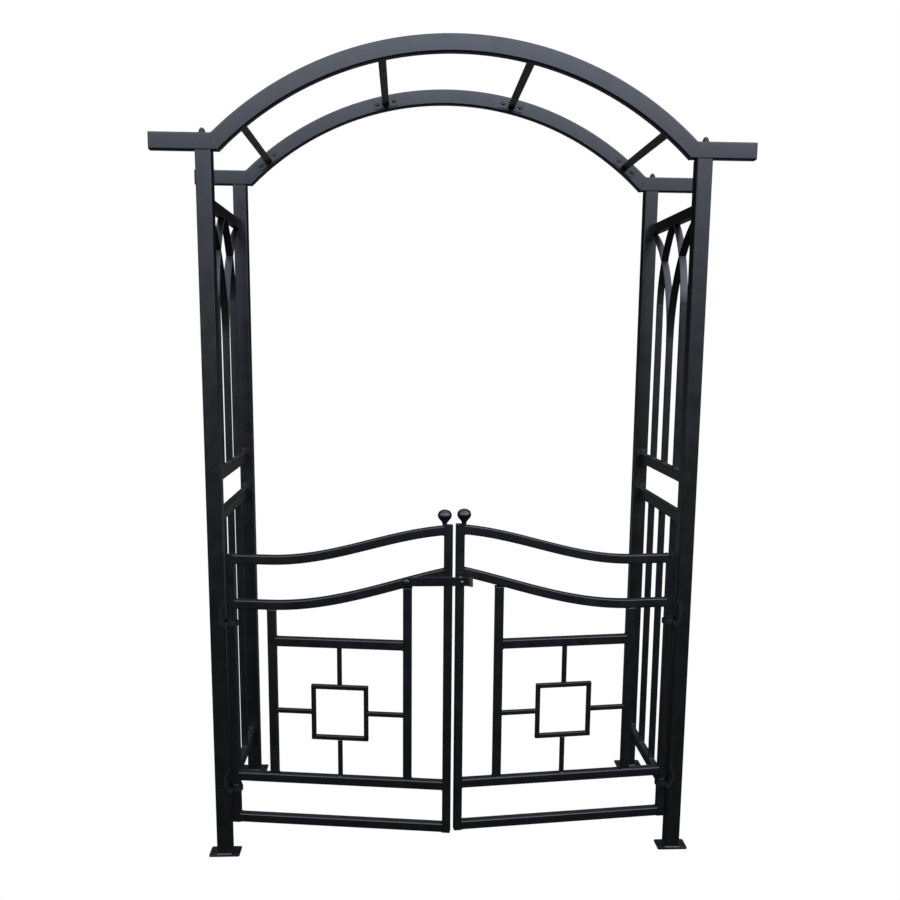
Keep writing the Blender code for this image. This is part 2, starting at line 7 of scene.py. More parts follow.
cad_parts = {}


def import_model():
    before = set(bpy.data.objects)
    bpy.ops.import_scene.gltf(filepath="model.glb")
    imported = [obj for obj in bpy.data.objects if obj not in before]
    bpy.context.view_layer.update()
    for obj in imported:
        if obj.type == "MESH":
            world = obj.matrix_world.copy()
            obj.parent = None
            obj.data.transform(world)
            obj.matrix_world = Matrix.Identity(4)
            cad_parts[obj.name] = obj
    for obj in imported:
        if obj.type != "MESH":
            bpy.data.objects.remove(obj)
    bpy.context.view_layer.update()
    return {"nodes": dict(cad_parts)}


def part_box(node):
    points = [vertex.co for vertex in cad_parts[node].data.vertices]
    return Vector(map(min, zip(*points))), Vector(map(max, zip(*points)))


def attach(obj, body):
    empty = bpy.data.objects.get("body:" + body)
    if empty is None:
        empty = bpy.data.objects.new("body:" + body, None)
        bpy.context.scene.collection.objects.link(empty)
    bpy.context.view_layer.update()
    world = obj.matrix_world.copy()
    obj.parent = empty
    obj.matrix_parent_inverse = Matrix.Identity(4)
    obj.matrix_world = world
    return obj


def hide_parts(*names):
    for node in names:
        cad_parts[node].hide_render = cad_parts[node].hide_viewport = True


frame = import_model()

# Sizes in metres, as the CAD part has them

GAP = 0.0003                 # between pieces that are welded or screwed together
POST_WALL = 0.0015
POST_ROUND = 0.0042          # outer corner radius
FRONT_Y = sum(corner.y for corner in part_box("post_front_left")) / 2
BACK_Y = sum(corner.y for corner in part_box("post_back_left")) / 2
POST_X = sum(corner.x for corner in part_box("post_front_right")) / 2
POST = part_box("post_front_right")[1].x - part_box("post_front_right")[0].x
POST_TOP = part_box("post_front_left")[1].z + GAP
FOOT_THICK = 0.005

# Top beams
BEAM = 0.0425                # height of the tube
BEAM_DEEP = 0.026            # its width from front to back
BEAM_WALL = 0.0015
BEAM_ROUND = 0.0038
BEAM_TOP = POST_TOP + BEAM
ARCH_Z = 1.2700              # centre of the arch's circle
ARCH_R = 0.8807              # outer radius
ARCH_HALF_ANGLE = math.radians(42.6)
ARCH_STEPS = 72
WING_END = 0.757
CAP_DEPTH = 0.014
CAP_SLACK = 0.0008           # the cap's plug is this much smaller than the tube's bore

# Cross ties
TIE = 0.019
TIE_WALL = 0.0012
TIE_ROUND = 0.0024
TIE_ANGLES = {"left_low": -38.9, "left_high": -12.6, "right_high": 12.8, "right_low": 39.0}
TIE_PLATE = (0.072, 0.030, 0.0025)
TIE_PLATE_ROUND = 0.005
TIE_SCREW = 0.026            # screws' distance from the tie's middle
TIE_SCREW_SIZE = 1.25

# Side trellis
TRELLIS_X = 0.6321           # centre plane
TRELLIS_T = 0.020            # thickness across the plane
TRELLIS_WALL = 0.0012
RAIL_H = 0.030
RAIL_ROUND = 0.0026
BAR_W = 0.010
BAR_ROUND = 0.0018
BAR_PITCH = 0.123
STRIP = 0.006                # bent strip of the tracery
STRIP_ROUND = 0.0012
STRIP_STEPS = 22
STRIP_ROOT = 0.002           # the strip starts this far below its bend
STRIP_SPREAD = 0.0018        # the two middle strips start this far from the bar's middle
RAILS = {"upper": (1.0456, 1.7492), "lower": (0.1268, 0.9340)}
OUTER_ARC = (1.508, 0.298)   # height where a side bar bends, and its radius
INNER_ARC = (1.413, 0.345)   # the same where the middle bar splits
OUTER_BAR_PAST = 0.012       # a bar goes on this far past the start of its bend
INNER_BAR_PAST = 0.042
END_PLATE = (0.018, 0.0025, 0.058)
END_PLATE_ROUND = 0.003
END_SCREW = 0.0218
END_SCREW_SIZE = 0.8

# Gate leaves; a place along a leaf is measured from its hinge stile
TUBE = 0.022
RAIL_TUBE = 0.024
TUBE_WALL = 0.0012
TUBE_ROUND = 0.0030
CURVE_STEPS = 44
HINGE_X = 0.5895
AJAR = {"left": math.radians(7.7), "right": math.radians(6.4)}
MEET = 0.5785                # middle of the meeting stile
OUTER_BAR = 0.1087
INNER_BAR = 0.4722
STILE_FOOT = 0.0966
HINGE_STILE_TOP = 0.8455
MEET_STILE_TOP = 0.938
BOTTOM_RAIL_Z = 0.1084
PANEL_RAIL_Z = 0.2288
PANEL_TOP_Z = 0.6142
TOP_CURVE = (0.8356, 0.0946, 0.104, 0.637)        # low height, rise, start and end of the rise
SECOND_CURVE = (0.7132, 0.1314, 0.105, 0.787)
ORNAMENT_BAR = 0.0115
ORNAMENT_ROUND = 0.0013
ORNAMENT_HALF = 0.0768
ORNAMENT_S = 0.2898
ORNAMENT_Z = 0.4206
ORNAMENT_BITE = 0.001        # the short bars run this far into the square
FINIAL_OFF = 0.0100          # the ball stands this far off the stile's middle, towards the hinge
FINIAL_Z = 0.965
FINIAL_PLATE = 0.0025
FINIAL_PROFILE = [           # radius and height above the ball's widest part
    (0.0062, -0.0215), (0.0063, -0.0200), (0.0070, -0.0186), (0.0086, -0.0160),
    (0.0108, -0.0131), (0.0129, -0.0107), (0.0148, -0.0085), (0.0160, -0.0067),
    (0.0168, -0.0050), (0.0175, -0.0033), (0.0179, -0.0018), (0.0181, -0.0002),
    (0.0181, 0.0012), (0.0179, 0.0031), (0.0174, 0.0050), (0.0166, 0.0070),
    (0.0155, 0.0088), (0.0140, 0.0106), (0.0120, 0.0121), (0.0096, 0.0135),
    (0.0070, 0.0145), (0.0044, 0.0152), (0.0020, 0.0155)]

# Hinge collars and latch
LOWER_HINGE_Z = 0.220
LOOP_DROP = 0.028            # loop's centre below the hinge plate's centre
LOOP_H = 0.012
COLLAR_LIFT = 0.0006
COLLAR_R = 0.0149
COLLAR_H = 0.007
COLLAR_Z = LOWER_HINGE_Z - LOOP_DROP + LOOP_H / 2 + COLLAR_LIFT
LATCH_Z = 0.7900
LATCH_PIVOT = 0.4710
LATCH_T = 0.005
LATCH_OUT = 0.0125           # back of the arm, from the leaf's middle plane
LATCH_TILT = math.radians(2.2)
LATCH_BEND = 0.6300          # where the arm's tab is folded
KEEPER_S = 0.6152            # keeper stud, along the left leaf
STUD_Z = LATCH_Z + (KEEPER_S - LATCH_PIVOT) * math.sin(LATCH_TILT)
STUD_R = 0.0030
STUD_LEN = 0.0285
TAB_START = -HINGE_X + LATCH_BEND * math.cos(AJAR["left"])

# Weld beads: radius of each kind, pitch of the ripples and length of one step along a bead
LEAF_BEAD = 0.0015
FOOT_BEAD = 0.0022
MITRE_BEAD = 0.0011
TIE_BEAD = 0.0013
TRELLIS_BEAD = 0.0012
ORNAMENT_BEAD = 0.0012
SQUARE_BEAD = 0.0011
BEAD_RIPPLE = 0.0045
BEAD_STEP = 0.0013
BEAD_CORNER = 0.0028
BEAD_SIDES = 6
INSET = 0.0006               # a bead's middle line or a bar's end lies this far inside a surface

UP = Vector((0, 0, 1))
DEPTH = Vector((0, 1, 0))
ACROSS = Vector((1, 0, 0))


# Materials

RANGE = ("From Min", "From Max", "To Min", "To Max")
DUST_COLOUR = (0.050, 0.048, 0.044, 1)
# pale grey that the latch arm's folded tab blends to
PALE_TAB_COLOUR = (0.085, 0.085, 0.087, 1)
PALE_TAB_FADE = 0.005          # the pale patch on the latch arm's tab fades in over this length
COAT_SPECULAR = 0.95


def node_tools(mat):
    """Tree, node maker and shader of a new material."""
    mat.use_nodes = True
    tree = mat.node_tree

    def add(kind, **inputs):
        node = tree.nodes.new(kind)
        for key, value in inputs.items():
            node.inputs[key.replace("_", " ")].default_value = value
        return node

    return tree, add, tree.nodes["Principled BSDF"]


def noise_node(tree, add, coords, scale, detail, rough):
    """Noise in object space, so that it stays on the piece."""
    node = add("ShaderNodeTexNoise", Scale=scale, Detail=detail, Roughness=rough)
    tree.links.new(coords.outputs["Object"], node.inputs["Vector"])
    return node


def remap(tree, add, source, low, high, to_low, to_high):
    """Output that runs from to_low to to_high while the source runs from low to high."""
    node = add("ShaderNodeMapRange")
    for key, value in zip(RANGE, (low, high, to_low, to_high)):
        node.inputs[key].default_value = value
    tree.links.new(source, node.inputs["Value"])
    return node.outputs["Result"]


def blend_colours(tree, amount, colour, other):
    """Mix a linked colour towards a plain one by a linked amount."""
    mix = tree.nodes.new("ShaderNodeMix")
    mix.data_type = "RGBA"
    colours = [socket for socket in mix.inputs if socket.type == "RGBA"]
    colours[1].default_value = other
    tree.links.new(amount, mix.inputs["Factor"])
    tree.links.new(colour, colours[0])
    return [socket for socket in mix.outputs if socket.type == "RGBA"][0]


def powder_coat(name, tone, rough, peel, dust, pale_from=None):
    """Satin black powder coat: mottled tone, orange-peel texture, dust on upward faces.

    Past the given place along X, the colour blends in patches to a pale grey; this lightens the latch
    arm's folded tab.
    """
    mat = bpy.data.materials.new(name)
    tree, add, shader = node_tools(mat)
    link = tree.links.new
    coords = add("ShaderNodeTexCoord")

    mottle = noise_node(tree, add, coords, 9.0, 4.0, 0.6)
    speck = noise_node(tree, add, coords, 420.0, 2.0, 0.6)
    ramp = add("ShaderNodeValToRGB")
    ramp.color_ramp.elements[0].position = 0.30
    ramp.color_ramp.elements[1].position = 0.72
    ramp.color_ramp.elements[0].color = (tone[0] * 0.78, tone[1] * 0.78, tone[2] * 0.80, 1)
    ramp.color_ramp.elements[1].color = (tone[0] * 1.25, tone[1] * 1.25, tone[2] * 1.22, 1)
    blend = add("ShaderNodeMath")
    blend.operation = "MULTIPLY_ADD"
    blend.inputs[1].default_value = 0.25
    link(speck.outputs["Fac"], blend.inputs[0])
    link(remap(tree, add, mottle.outputs["Fac"], 0.0, 1.0, 0.0, 0.75), blend.inputs[2])
    link(blend.outputs[0], ramp.inputs["Fac"])

    geometry = add("ShaderNodeNewGeometry")
    axes = add("ShaderNodeSeparateXYZ")
    link(geometry.outputs["Normal"], axes.inputs[0])
    facing = remap(tree, add, axes.outputs["Z"], 0.55, 1.0, 0.0, 1.0)
    settle = noise_node(tree, add, coords, 38.0, 5.0, 0.65)
    patch = remap(tree, add, settle.outputs["Fac"], 0.35, 0.75, 0.15, 1.0)
    amount = add("ShaderNodeMath")
    amount.operation = "MULTIPLY"
    link(facing, amount.inputs[0])
    link(patch, amount.inputs[1])
    dusting = add("ShaderNodeMath")
    dusting.operation = "MULTIPLY"
    dusting.inputs[1].default_value = dust
    link(amount.outputs[0], dusting.inputs[0])
    colour = blend_colours(tree, dusting.outputs[0], ramp.outputs["Color"], DUST_COLOUR)
    if pale_from is not None:
        # past the given place along X the colour turns pale grey in patches, which lightens the latch
        # arm's folded tab
        place = add("ShaderNodeSeparateXYZ")
        link(coords.outputs["Object"], place.inputs[0])
        pale_to = pale_from + PALE_TAB_FADE
        pale_ramp = remap(tree, add, place.outputs["X"], pale_from, pale_to, 0.0, 1.0)
        pale_patches = remap(tree, add, settle.outputs["Fac"], 0.25, 0.65, 0.55, 1.0)
        pale_amount = add("ShaderNodeMath")
        pale_amount.operation = "MULTIPLY"
        link(pale_ramp, pale_amount.inputs[0])
        link(pale_patches, pale_amount.inputs[1])
        colour = blend_colours(tree, pale_amount.outputs[0], colour, PALE_TAB_COLOUR)
    link(colour, shader.inputs["Base Color"])

    cloud = noise_node(tree, add, coords, 26.0, 4.0, 0.55)
    sheen = remap(tree, add, cloud.outputs["Fac"], 0.3, 0.7, rough - 0.035, rough + 0.045)
    link(sheen, shader.inputs["Roughness"])

    fine = noise_node(tree, add, coords, 780.0, 2.0, 0.5)
    bump = add("ShaderNodeBump", Strength=peel, Distance=0.0004)
    link(fine.outputs["Fac"], bump.inputs["Height"])
    wave = noise_node(tree, add, coords, 120.0, 2.0, 0.5)
    swell = add("ShaderNodeBump", Strength=peel * 0.6, Distance=0.0006)
    link(wave.outputs["Fac"], swell.inputs["Height"])
    link(bump.outputs["Normal"], swell.inputs["Normal"])
    link(swell.outputs["Normal"], shader.inputs["Normal"])
    shader.inputs["Specular IOR Level"].default_value = COAT_SPECULAR
    return mat


def moulded_plastic(name):
    """Black push-in caps: even, slightly textured moulding."""
    mat = bpy.data.materials.new(name)
    tree, add, shader = node_tools(mat)
    link = tree.links.new
    coords = add("ShaderNodeTexCoord")
    grain = noise_node(tree, add, coords, 1500.0, 1.0, 0.4)
    tone = noise_node(tree, add, coords, 60.0, 3.0, 0.5)
    ramp = add("ShaderNodeValToRGB")
    ramp.color_ramp.elements[0].color = (0.0040, 0.0040, 0.0044, 1)
    ramp.color_ramp.elements[1].color = (0.0085, 0.0085, 0.0088, 1)
    link(tone.outputs["Fac"], ramp.inputs["Fac"])
    link(ramp.outputs["Color"], shader.inputs["Base Color"])
    link(remap(tree, add, tone.outputs["Fac"], 0.3, 0.7, 0.50, 0.60), shader.inputs["Roughness"])
    bump = add("ShaderNodeBump", Strength=0.25, Distance=0.0003)
    link(grain.outputs["Fac"], bump.inputs["Height"])
    link(bump.outputs["Normal"], shader.inputs["Normal"])
    shader.inputs["Specular IOR Level"].default_value = 0.5
    return mat


def bright_zinc(name):
    """Zinc-plated steel with fine turning or rubbing marks and faint spangle."""
    mat = bpy.data.materials.new(name)
    tree, add, shader = node_tools(mat)
    link = tree.links.new
    coords = add("ShaderNodeTexCoord")
    place = add("ShaderNodeMapping")
    place.inputs["Scale"].default_value = (1.0, 0.15, 1.0)
    link(coords.outputs["Object"], place.inputs["Vector"])
    marks = add("ShaderNodeTexNoise", Scale=300.0, Detail=3.0, Roughness=0.6)
    link(place.outputs["Vector"], marks.inputs["Vector"])
    spangle = add("ShaderNodeTexVoronoi", Scale=420.0)
    link(coords.outputs["Object"], spangle.inputs["Vector"])
    ramp = add("ShaderNodeValToRGB")
    ramp.color_ramp.elements[0].color = (0.26, 0.27, 0.29, 1)
    ramp.color_ramp.elements[1].color = (0.52, 0.53, 0.55, 1)
    link(marks.outputs["Fac"], ramp.inputs["Fac"])
    link(ramp.outputs["Color"], shader.inputs["Base Color"])
    rough = remap(tree, add, spangle.outputs["Distance"], 0.0, 0.8, 0.24, 0.42)
    link(rough, shader.inputs["Roughness"])
    bump = add("ShaderNodeBump", Strength=0.2, Distance=0.0002)
    link(marks.outputs["Fac"], bump.inputs["Height"])
    link(bump.outputs["Normal"], shader.inputs["Normal"])
    shader.inputs["Metallic"].default_value = 0.85
    return mat


COATS = {                    # base colour, roughness, orange peel, dust
    "frame_coat": ((0.0034, 0.0033, 0.0032), 0.30, 0.16, 0.16),
    "trellis_coat": ((0.0033, 0.0032, 0.0031), 0.33, 0.18, 0.16),
    "gate_coat": ((0.0031, 0.0030, 0.0030), 0.31, 0.16, 0.18),
    "fitting_coat": ((0.0036, 0.0035, 0.0035), 0.28, 0.12, 0.10),
    "hinge_coat": ((0.0115, 0.0115, 0.0116), 0.30, 0.12, 0.20),
    "latch_coat": ((0.0034, 0.0034, 0.0035), 0.28, 0.12, 0.10, TAB_START),
}
FINISH = {name: powder_coat(name, *look) for name, look in COATS.items()}
FINISH["cap_plastic"] = moulded_plastic("cap_plastic")
FINISH["zinc_steel"] = bright_zinc("zinc_steel")


# Mesh helpers

def piece(name, bm, body, slot, nodes=(), sharp=38):
    """Finish a bmesh as a visible piece that rides on a body and stands for CAD nodes."""
    bmesh.ops.remove_doubles(bm, verts=bm.verts, dist=1e-7)
    bmesh.ops.recalc_face_normals(bm, faces=bm.faces)
    mesh = bpy.data.meshes.new(name)
    bm.to_mesh(mesh)
    bm.free()
    mesh.shade_smooth()
    mesh.set_sharp_from_angle(angle=math.radians(sharp))
    obj = bpy.data.objects.new(name, mesh)
    bpy.context.scene.collection.objects.link(obj)
    mesh.materials.append(FINISH[slot])
    even = obj.modifiers.new("flat_faces", "WEIGHTED_NORMAL")
    even.keep_sharp = True
    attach(obj, body)
    if nodes:
        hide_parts(*nodes)
    return obj


def rounded(width, height, radius, steps=4):
    """Rectangle with round corners, counter-clockwise."""
    points = []
    for turn, (sx, sy) in enumerate(((1, 1), (-1, 1), (-1, -1), (1, -1))):
        cx, cy = sx * (width / 2 - radius), sy * (height / 2 - radius)
        for i in range(steps + 1):
            a = math.pi / 2 * (turn + i / steps)
            points.append((cx + radius * math.cos(a), cy + radius * math.sin(a)))
    return points


def ring_at(bm, profile, station):
    """Vertices of a profile set at a station of (origin, across, up)."""
    origin, across, up = station
    return [bm.verts.new(origin + across * a + up * b) for a, b in profile]


def stitch(bm, rings, closed=False):
    """Faces between neighbouring rings; closed joins the last ring to the first."""
    pairs = list(zip(rings, rings[1:]))
    if closed:
        pairs.append((rings[-1], rings[0]))
    for ring, following in pairs:
        for i in range(len(ring)):
            j = (i + 1) % len(ring)
            bm.faces.new((ring[i], ring[j], following[j], following[i]))


def end_faces(bm, rings):
    bm.faces.new(rings[0])
    bm.faces.new(rings[-1])


def tube(bm, stations, width, height, wall, radius):
    """Open-ended tube with round corners through stations of (origin, across, up)."""
    outer_profile = rounded(width, height, radius)
    inner_profile = rounded(width - 2 * wall, height - 2 * wall, max(radius - wall, 0.0006))
    outer = [ring_at(bm, outer_profile, s) for s in stations]
    inner = [ring_at(bm, inner_profile, s) for s in stations]
    stitch(bm, outer)
    stitch(bm, inner)
    stitch(bm, [outer[0], inner[0]])
    stitch(bm, [outer[-1], inner[-1]])


def straight_tube(bm, start, end, across, width, height, wall, radius):
    start, end, across = Vector(start), Vector(end), Vector(across)
    up = (end - start).cross(across).normalized()
    tube(bm, [(start, across, up), (end, across, up)], width, height, wall, radius)


def solid_bar(bm, stations, width, height, radius):
    """Closed bar with round corners; the ends are eased."""
    ease = radius * 0.6
    steps = 3
    first, last = stations[0], stations[-1]
    start_way = (stations[1][0] - first[0]).normalized()
    end_way = (last[0] - stations[-2][0]).normalized()
    small = rounded(width - 2 * ease, height - 2 * ease, max(radius - ease, 0.0003), steps)
    full = rounded(width, height, radius, steps)
    rings = [ring_at(bm, small, first),
             ring_at(bm, full, (first[0] + start_way * ease, first[1], first[2]))]
    rings += [ring_at(bm, full, s) for s in stations[1:-1]]
    rings.append(ring_at(bm, full, (last[0] - end_way * ease, last[1], last[2])))
    rings.append(ring_at(bm, small, last))
    stitch(bm, rings)
    end_faces(bm, rings)


def straight_bar(bm, start, end, across, width, height, radius):
    start, end, across = Vector(start), Vector(end), Vector(across)
    up = (end - start).cross(across).normalized()
    solid_bar(bm, [(start, across, up), (end, across, up)], width, height, radius)


def plate(bm, place, width, height, thick, radius):
    """Flat plate in the XZ plane of a matrix, with round corners and eased edges."""
    ease = min(0.0006, thick / 4)
    small = rounded(width - 2 * ease, height - 2 * ease, radius - ease)
    full = rounded(width, height, radius)
    rings = []
    for profile, y in ((small, -thick / 2), (full, -thick / 2 + ease),
                       (full, thick / 2 - ease), (small, thick / 2)):
        rings.append([bm.verts.new(place @ Vector((a, y, b))) for a, b in profile])
    stitch(bm, rings)
    end_faces(bm, rings)


def lathe(bm, profile, place, segments):
    """Turned shape from (radius, height) points about the Z axis of a matrix.

    A third number in a point is the number of corners of a polygon there.
    """
    rings = []
    for entry in profile:
        radius, height = entry[0], entry[1]
        corners = entry[2] if len(entry) > 2 else 0
        ring = []
        for i in range(segments):
            a = 2 * math.pi * i / segments
            r = radius
            if corners:
                span = 2 * math.pi / corners
                r = radius * math.cos(span / 2) / math.cos((a % span) - span / 2)
            ring.append(bm.verts.new(place @ Vector((r * math.cos(a), r * math.sin(a), height))))
        rings.append(ring)
    stitch(bm, rings)
    end_faces(bm, rings)


def facing(point, way):
    """Matrix at a point whose Z axis runs along way."""
    turn = Vector(way).to_track_quat("Z", "Y").to_matrix().to_4x4()
    return Matrix.Translation(point) @ turn


def screw(bm, point, way, size):
    """Pan-head screw with a hex socket, standing on a surface."""
    profile = [(0.0050, 0.0), (0.0050, 0.0007), (0.0047, 0.0015), (0.0040, 0.0024), (0.0031, 0.0029),
               (0.0026, 0.0030), (0.0023, 0.0029, 6), (0.0021, 0.0012, 6), (0.0006, 0.0011)]
    scaled = [(entry[0] * size, entry[1] * size) + tuple(entry[2:]) for entry in profile]
    lathe(bm, scaled, facing(point, way), 24)


def weld(bm, centre, side_a, side_b, half_a, half_b, radius=LEAF_BEAD):
    """Rippled weld bead round a rectangular joint."""
    outline = rounded(2 * half_a, 2 * half_b, BEAD_CORNER, 3)
    path = []
    for (ax, ay), (bx, by) in zip(outline, outline[1:] + outline[:1]):
        length = math.hypot(bx - ax, by - ay)
        count = max(1, round(length / BEAD_STEP))
        path += [(ax + (bx - ax) * k / count, ay + (by - ay) * k / count) for k in range(count)]
    normal = Vector(side_a).cross(Vector(side_b)).normalized()
    rings, run = [], 0.0
    for index, (px, py) in enumerate(path):
        qx, qy = path[(index + 1) % len(path)]
        ox, oy = path[index - 1]
        along = (Vector(side_a) * (qx - ox) + Vector(side_b) * (qy - oy)).normalized()
        outward = along.cross(normal)
        ripple = 0.20 * math.sin(run * 2 * math.pi / BEAD_RIPPLE)
        size = radius * (1 + ripple + 0.08 * math.sin(run * 310))
        point = centre + Vector(side_a) * px + Vector(side_b) * py
        ring = []
        for k in range(BEAD_SIDES):
            a = 2 * math.pi * k / BEAD_SIDES
            way = outward * math.cos(a) + normal * math.sin(a)
            ring.append(bm.verts.new(point + way * size))
        rings.append(ring)
        run += math.hypot(qx - px, qy - py)
    stitch(bm, rings, closed=True)


# Posts, feet and top beams

CORNERS = {
    "front_left": (-1, FRONT_Y), "front_right": (1, FRONT_Y),
    "back_left": (-1, BACK_Y), "back_right": (1, BACK_Y),
}


def kink():
    """Corners where wing and arch meet: (lower x, upper x)."""
    upper = math.sqrt(ARCH_R ** 2 - (BEAM_TOP - ARCH_Z) ** 2)
    lower = math.sqrt((ARCH_R - BEAM) ** 2 - (POST_TOP - ARCH_Z) ** 2)
    return lower, upper


def mitre(y, side, shift):
    """Station in the plane where wing and arch meet."""
    lower, upper = kink()
    middle = Vector((side * ((lower + upper) / 2 + shift), y, (POST_TOP + BEAM_TOP) / 2))
    return middle, DEPTH, Vector((side * (upper - lower), 0, BEAM)) / BEAM


def build_frame():
    """Posts, wings, caps, nuts, arches and cross ties, with their welds and screws."""
    welds = bmesh.new()
    screws = bmesh.new()
    for name, (side, y) in CORNERS.items():
        x = side * POST_X
        bm = bmesh.new()
        straight_tube(bm, (x, y, FOOT_THICK + GAP), (x, y, POST_TOP - GAP), ACROSS,
                      POST, POST, POST_WALL, POST_ROUND)
        piece("tube_post_" + name, bm, "frame", "frame_coat", ["post_" + name])
        foot = Vector((x, y, FOOT_THICK + 0.0008))
        weld(welds, foot, ACROSS, DEPTH, POST / 2, POST / 2, FOOT_BEAD)

        bm = bmesh.new()
        end = (Vector((side * WING_END, y, (POST_TOP + BEAM_TOP) / 2)), DEPTH, UP)
        tube(bm, [mitre(y, side, GAP), end], BEAM_DEEP, BEAM, BEAM_WALL, BEAM_ROUND)
        piece("tube_wing_" + name, bm, "frame", "frame_coat", ["wing_" + name])
        origin, across, rise = mitre(y, side, GAP / 2)
        weld(welds, origin, across, rise.normalized(), BEAM_DEEP / 2 - 0.0004,
             BEAM / 2 * rise.length - 0.0004, MITRE_BEAD)

        build_cap(name, side, y)
        if "cap_nut_" + name in frame["nodes"]:
            build_nut(name, y)

    for name, y in (("front", FRONT_Y), ("back", BACK_Y)):
        bm = bmesh.new()
        stations = [mitre(y, -1, 0)]
        for i in range(ARCH_STEPS + 1):
            a = -ARCH_HALF_ANGLE + 2 * ARCH_HALF_ANGLE * i / ARCH_STEPS
            out = Vector((math.sin(a), 0, math.cos(a)))
            stations.append((Vector((0, y, ARCH_Z)) + out * (ARCH_R - BEAM / 2), DEPTH, out))
        stations.append(mitre(y, 1, 0))
        tube(bm, stations, BEAM_DEEP, BEAM, BEAM_WALL, BEAM_ROUND)
        piece("tube_arch_" + name, bm, "frame", "frame_coat", ["arch_" + name])

    for name, degrees in TIE_ANGLES.items():
        build_tie(name, degrees, welds, screws)
    piece("frame_welds", welds, "frame", "frame_coat")
    piece("frame_screws", screws, "frame", "fitting_coat")


def build_cap(name, side, y):
    """Push-in end cap: plug, flange over the tube's end, slightly crowned face."""
    bm = bmesh.new()
    middle = Vector((side * WING_END, y, (POST_TOP + BEAM_TOP) / 2))
    bore = 2 * BEAM_WALL + CAP_SLACK
    steps = [(bore, 0.0023, -CAP_DEPTH), (bore, 0.0023, GAP), (0, BEAM_ROUND, GAP),
             (0, BEAM_ROUND, GAP + 0.0007), (0.0006, BEAM_ROUND, GAP + 0.0011),
             (0.0022, BEAM_ROUND, 0.0017), (0.008, 0.003, 0.0019), (0.016, 0.003, 0.0020)]
    rings = []
    for less, radius, out in steps:
        station = (middle + Vector((side * out, 0, 0)), DEPTH, UP)
        rings.append(ring_at(bm, rounded(BEAM_DEEP - less, BEAM - less, radius), station))
    stitch(bm, rings)
    end_faces(bm, rings)
    piece("moulded_cap_" + name, bm, "frame", "cap_plastic", ["wing_cap_" + name])


def build_nut(name, y):
    """Washer, chamfered hexagon and dome over the bolt that joins wing and post."""
    low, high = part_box("cap_nut_" + name)
    bm = bmesh.new()
    profile = [(0.0095, 0.0), (0.0095, 0.0012), (0.0092, 0.0015), (0.0078, 0.0015),
               (0.0080, 0.0021, 6), (0.0080, 0.0058, 6), (0.0074, 0.0066), (0.0063, 0.0070),
               (0.0061, 0.0084), (0.0055, 0.0099), (0.0044, 0.0112), (0.0031, 0.0120),
               (0.0012, 0.0124)]
    lathe(bm, profile, Matrix.Translation(((low.x + high.x) / 2, y, low.z)), 36)
    piece("dome_nut_" + name, bm, "frame", "fitting_coat", ["cap_nut_" + name], 28)


def build_tie(name, degrees, welds, screws):
    """Square tube between the beams with a screwed plate at each end."""
    a = math.radians(degrees)
    out = Vector((math.sin(a), 0, math.cos(a)))
    along = Vector((math.cos(a), 0, -math.sin(a)))
    axis = out * (ARCH_R - BEAM / 2) + Vector((0, 0, ARCH_Z))
    front = FRONT_Y + BEAM_DEEP / 2 + GAP
    back = BACK_Y - BEAM_DEEP / 2 - GAP
    turn = Matrix((along, DEPTH, out)).transposed().to_4x4()
    width, height, thick = TIE_PLATE
    bm = bmesh.new()
    straight_tube(bm, axis + DEPTH * (front + 0.001), axis + DEPTH * (back - 0.001), along,
                  TIE, TIE, TIE_WALL, TIE_ROUND)
    for y, way in ((front + thick / 2, 1), (back - thick / 2, -1)):
        place = Matrix.Translation(axis + DEPTH * y) @ turn
        plate(bm, place, width, height, thick, TIE_PLATE_ROUND)
        face = axis + DEPTH * (y + way * thick / 2)
        weld(welds, face + DEPTH * (way * INSET), along, out, TIE / 2, TIE / 2, TIE_BEAD)
        for shift in (-TIE_SCREW, TIE_SCREW):
            screw(screws, face + along * shift, DEPTH * way, TIE_SCREW_SIZE)
    piece("tube_tie_" + name, bm, "frame", "frame_coat", ["cross_tie_" + name])


# Side trellis

def tracery(bm, x, start_y, way, arc, top):
    """Bent strip from a bar up to the rail; way is +1 or -1 along Y."""
    start_z, radius = arc
    stations = []
    for i in range(STRIP_STEPS + 1):
        up = -STRIP_ROOT + (top - start_z + STRIP_ROOT) * i / STRIP_STEPS
        root = math.sqrt(radius ** 2 - up ** 2)
        normal = Vector((0, -way, 0))
        lean = radius / root
        origin = Vector((x, start_y + way * (radius - root), start_z + up))
        stations.append((origin, ACROSS, normal * lean))
    solid_bar(bm, stations, TRELLIS_T, STRIP, STRIP_ROUND)


